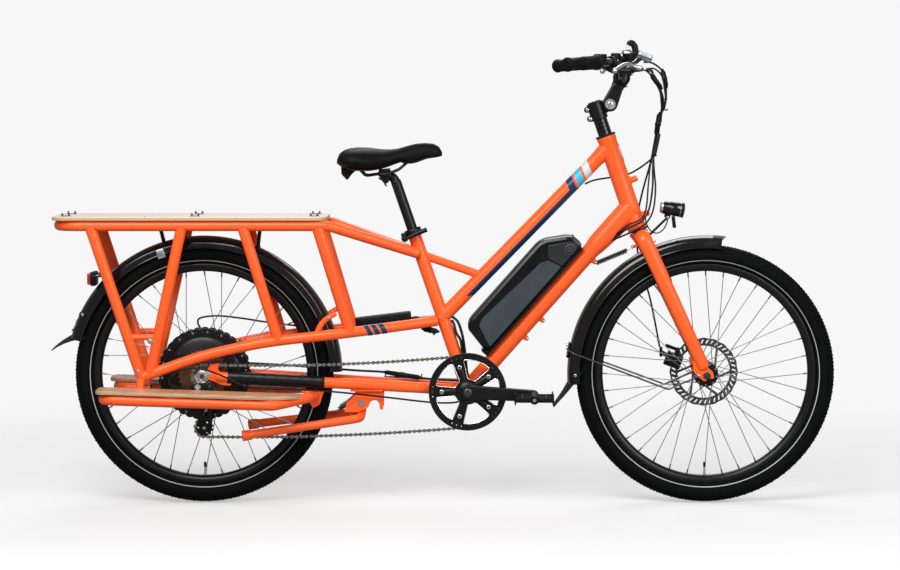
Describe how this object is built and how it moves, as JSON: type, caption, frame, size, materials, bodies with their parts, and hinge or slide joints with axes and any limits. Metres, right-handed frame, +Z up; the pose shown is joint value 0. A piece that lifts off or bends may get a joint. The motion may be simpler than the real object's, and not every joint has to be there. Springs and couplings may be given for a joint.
{
  "type": "cargo bicycle",
  "caption": "Long-tail electric cargo bicycle with a rear deck, side running boards, hub motor, battery on the down tube, fenders and disc brakes.",
  "frame": {"origin": "middle of the footprint on the ground, under the middle of the overall length", "axes": "+X forward along the bicycle, +Y to the rider's left, +Z up"},
  "size_m": [2.041, 0.691, 1.2025],
  "materials": {
    "frame_paint": "satin orange powder coat",
    "black_metal": "satin black anodised or painted alloy",
    "black_plastic": "matt moulded black plastic",
    "fender_black": "glossy black plastic",
    "battery_case": "glossy black case with a slate side panel",
    "tyre_rubber": "knobby black rubber with a pale sidewall line",
    "grip_rubber": "ribbed black rubber",
    "alloy": "polished silver alloy",
    "chain_steel": "oiled steel",
    "cog_steel": "brown-tinted steel",
    "running_board_ply": "varnished reddish plywood",
    "deck_ply": "pale varnished plywood",
    "red_lens": "red lens",
    "saddle_vinyl": "black vinyl cover"
  },
  "bodies": {
    "frame": {"head_tube": "frame_paint", "top_tube": "frame_paint", "down_tube": "frame_paint", "seat_tube": "frame_paint", "deck_rail": "frame_paint", "side_frame_right": "frame_paint", "side_frame_left": "frame_paint", "chain_stays": "frame_paint", "deck_board": "deck_ply", "running_board_right": "running_board_ply", "running_board_left": "running_board_ply", "running_board_frame_right": "frame_paint", "running_board_frame_left": "frame_paint", "rear_fender": "fender_black", "controller": "black_plastic", "tail_light": "red_lens", "seat_clamp": "black_metal", "rear_brake_caliper": "black_metal", "derailleur_body": "alloy", "chain": "chain_steel", "steering_spring": "black_metal", "frame_cables": "black_plastic", "rear_shift_cable": "black_plastic", "derailleur_cage": "black_metal"},
    "battery": {"battery": "battery_case"},
    "battery_lock": {"battery_lock": "black_metal"},
    "seat_post": {"seat_post": "black_metal", "saddle": "saddle_vinyl"},
    "seat_clamp_lever": {"seat_clamp_lever": "black_metal"},
    "kickstand": {"kickstand": "frame_paint"},
    "fork": {"fork": "frame_paint", "front_fender": "fender_black", "front_brake_caliper": "black_metal", "stem_base": "black_metal", "front_brake_cable": "black_plastic"},
    "headlight": {"headlight": "fender_black"},
    "handlebar": {"stem_arm": "black_metal", "handlebar": "black_metal", "grip_left": "grip_rubber", "grip_right": "grip_rubber", "display": "black_plastic", "bell": "alloy", "bar_cables": "black_plastic"},
    "throttle": {"throttle": "black_plastic"},
    "brake_lever_right": {"brake_lever_right": "alloy"},
    "brake_lever_left": {"brake_lever_left": "alloy"},
    "bell_striker": {"bell_striker": "black_plastic"},
    "shift_lever": {"shift_lever": "black_plastic"},
    "front_wheel": {"front_tyre": "tyre_rubber", "front_rim": "black_metal", "front_hub": "black_metal"},
    "rear_wheel": {"rear_tyre": "tyre_rubber", "rear_rim": "black_metal", "motor_hub": "black_metal"},
    "cassette": {"cassette": "cog_steel"},
    "crankset": {"crankset": "black_metal"},
    "pedal_right": {"pedal_right": "black_plastic"},
    "pedal_left": {"pedal_left": "black_plastic"},
    "jockey_upper": {"jockey_upper": "black_plastic"},
    "jockey_lower": {"jockey_lower": "black_plastic"}
  },
  "joints": [
    {"name": "steering", "type": "hinge", "parent": "frame", "child": "fork", "pos_m": [0.50515, 0, 0.71217], "axis": [-0.3256, 0, 0.9455], "range_deg": [-55, 55], "deforming": ["steering_spring", "frame_cables"]},
    {"name": "stem_angle", "type": "hinge", "parent": "fork", "child": "handlebar", "pos_m": [0.4315, 0, 1.039], "axis": [0, 1, 0], "range_deg": [-5, 30], "deforming": ["bar_cables"]},
    {"name": "headlight_tilt", "type": "hinge", "parent": "fork", "child": "headlight", "pos_m": [0.5795, 0, 0.743], "axis": [0, 1, 0], "range_deg": [-10, 10]},
    {"name": "throttle_twist", "type": "hinge", "parent": "handlebar", "child": "throttle", "pos_m": [0.3669, -0.2578, 1.1438], "axis": [-0.634, -0.7718, -0.0482], "range_deg": [0, 60], "stiffness_Nm_per_rad": 0.4},
    {"name": "brake_lever_right_pull", "type": "hinge", "parent": "handlebar", "child": "brake_lever_right", "pos_m": [0.4805, -0.17, 1.136], "axis": [0, 0, -1], "range_deg": [0, 15], "stiffness_Nm_per_rad": 2},
    {"name": "brake_lever_left_pull", "type": "hinge", "parent": "handlebar", "child": "brake_lever_left", "pos_m": [0.4805, 0.17, 1.136], "axis": [0, 0, 1], "range_deg": [0, 15], "stiffness_Nm_per_rad": 2},
    {"name": "bell_striker_flick", "type": "hinge", "parent": "handlebar", "child": "bell_striker", "pos_m": [0.4685, -0.153, 1.166], "axis": [0, 0, 1], "range_deg": [0, 20], "stiffness_Nm_per_rad": 0.02},
    {"name": "shift_lever_throw", "type": "hinge", "parent": "handlebar", "child": "shift_lever", "pos_m": [0.4595, -0.1, 1.14], "axis": [0, 1, 0], "range_deg": [-20, 20]},
    {"name": "front_wheel_spin", "type": "hinge", "parent": "fork", "child": "front_wheel", "pos_m": [0.6825, 0, 0.338], "axis": [0, 1, 0], "continuous": true},
    {"name": "rear_wheel_spin", "type": "hinge", "parent": "frame", "child": "rear_wheel", "pos_m": [-0.6235, 0, 0.338], "axis": [0, 1, 0], "continuous": true},
    {"name": "crank_turn", "type": "hinge", "parent": "frame", "child": "crankset", "pos_m": [0.0625, 0, 0.296], "axis": [0, 1, 0], "continuous": true},
    {"name": "cassette_spin", "type": "hinge", "parent": "frame", "child": "cassette", "pos_m": [-0.6235, 0, 0.338], "axis": [0, 1, 0], "continuous": true},
    {"name": "pedal_right_spin", "type": "hinge", "parent": "crankset", "child": "pedal_right", "pos_m": [0.23227, -0.14, 0.2871], "axis": [0, 1, 0], "continuous": true},
    {"name": "pedal_left_spin", "type": "hinge", "parent": "crankset", "child": "pedal_left", "pos_m": [-0.10727, 0.14, 0.3049], "axis": [0, 1, 0], "continuous": true},
    {"name": "jockey_upper_spin", "type": "hinge", "parent": "frame", "child": "jockey_upper", "pos_m": [-0.6115, -0.058, 0.288], "axis": [0, 1, 0], "continuous": true},
    {"name": "jockey_lower_spin", "type": "hinge", "parent": "frame", "child": "jockey_lower", "pos_m": [-0.6205, -0.058, 0.202], "axis": [0, 1, 0], "continuous": true},
    {"name": "kickstand_fold", "type": "hinge", "parent": "frame", "child": "kickstand", "pos_m": [-0.2135, 0, 0.263], "axis": [0, -1, 0], "range_deg": [0, 85]},
    {"name": "seat_height", "type": "slide", "parent": "frame", "child": "seat_post", "axis": [-0.3256, 0, 0.9455], "range_m": [-0.1, 0.08]},
    {"name": "seat_clamp_lever_swing", "type": "hinge", "parent": "frame", "child": "seat_clamp_lever", "pos_m": [-0.09948, -0.029, 0.68797], "axis": [0.3256, 0, -0.9455], "range_deg": [0, 120]},
    {"name": "battery_release", "type": "slide", "parent": "frame", "child": "battery", "axis": [0.6634, 0, 0.7483], "range_m": [0, 0.02]},
    {"name": "battery_lock_turn", "type": "hinge", "parent": "battery", "child": "battery_lock", "pos_m": [0.32794, -0.042, 0.66473], "axis": [0, -1, 0], "range_deg": [0, 90]}
  ],
  "couplings": [
    {"joint": "cassette_spin", "follows": "crank_turn", "ratio": 3.2857},
    {"joint": "jockey_upper_spin", "follows": "crank_turn", "ratio": -4.4286},
    {"joint": "jockey_lower_spin", "follows": "crank_turn", "ratio": 3.875}
  ]
}
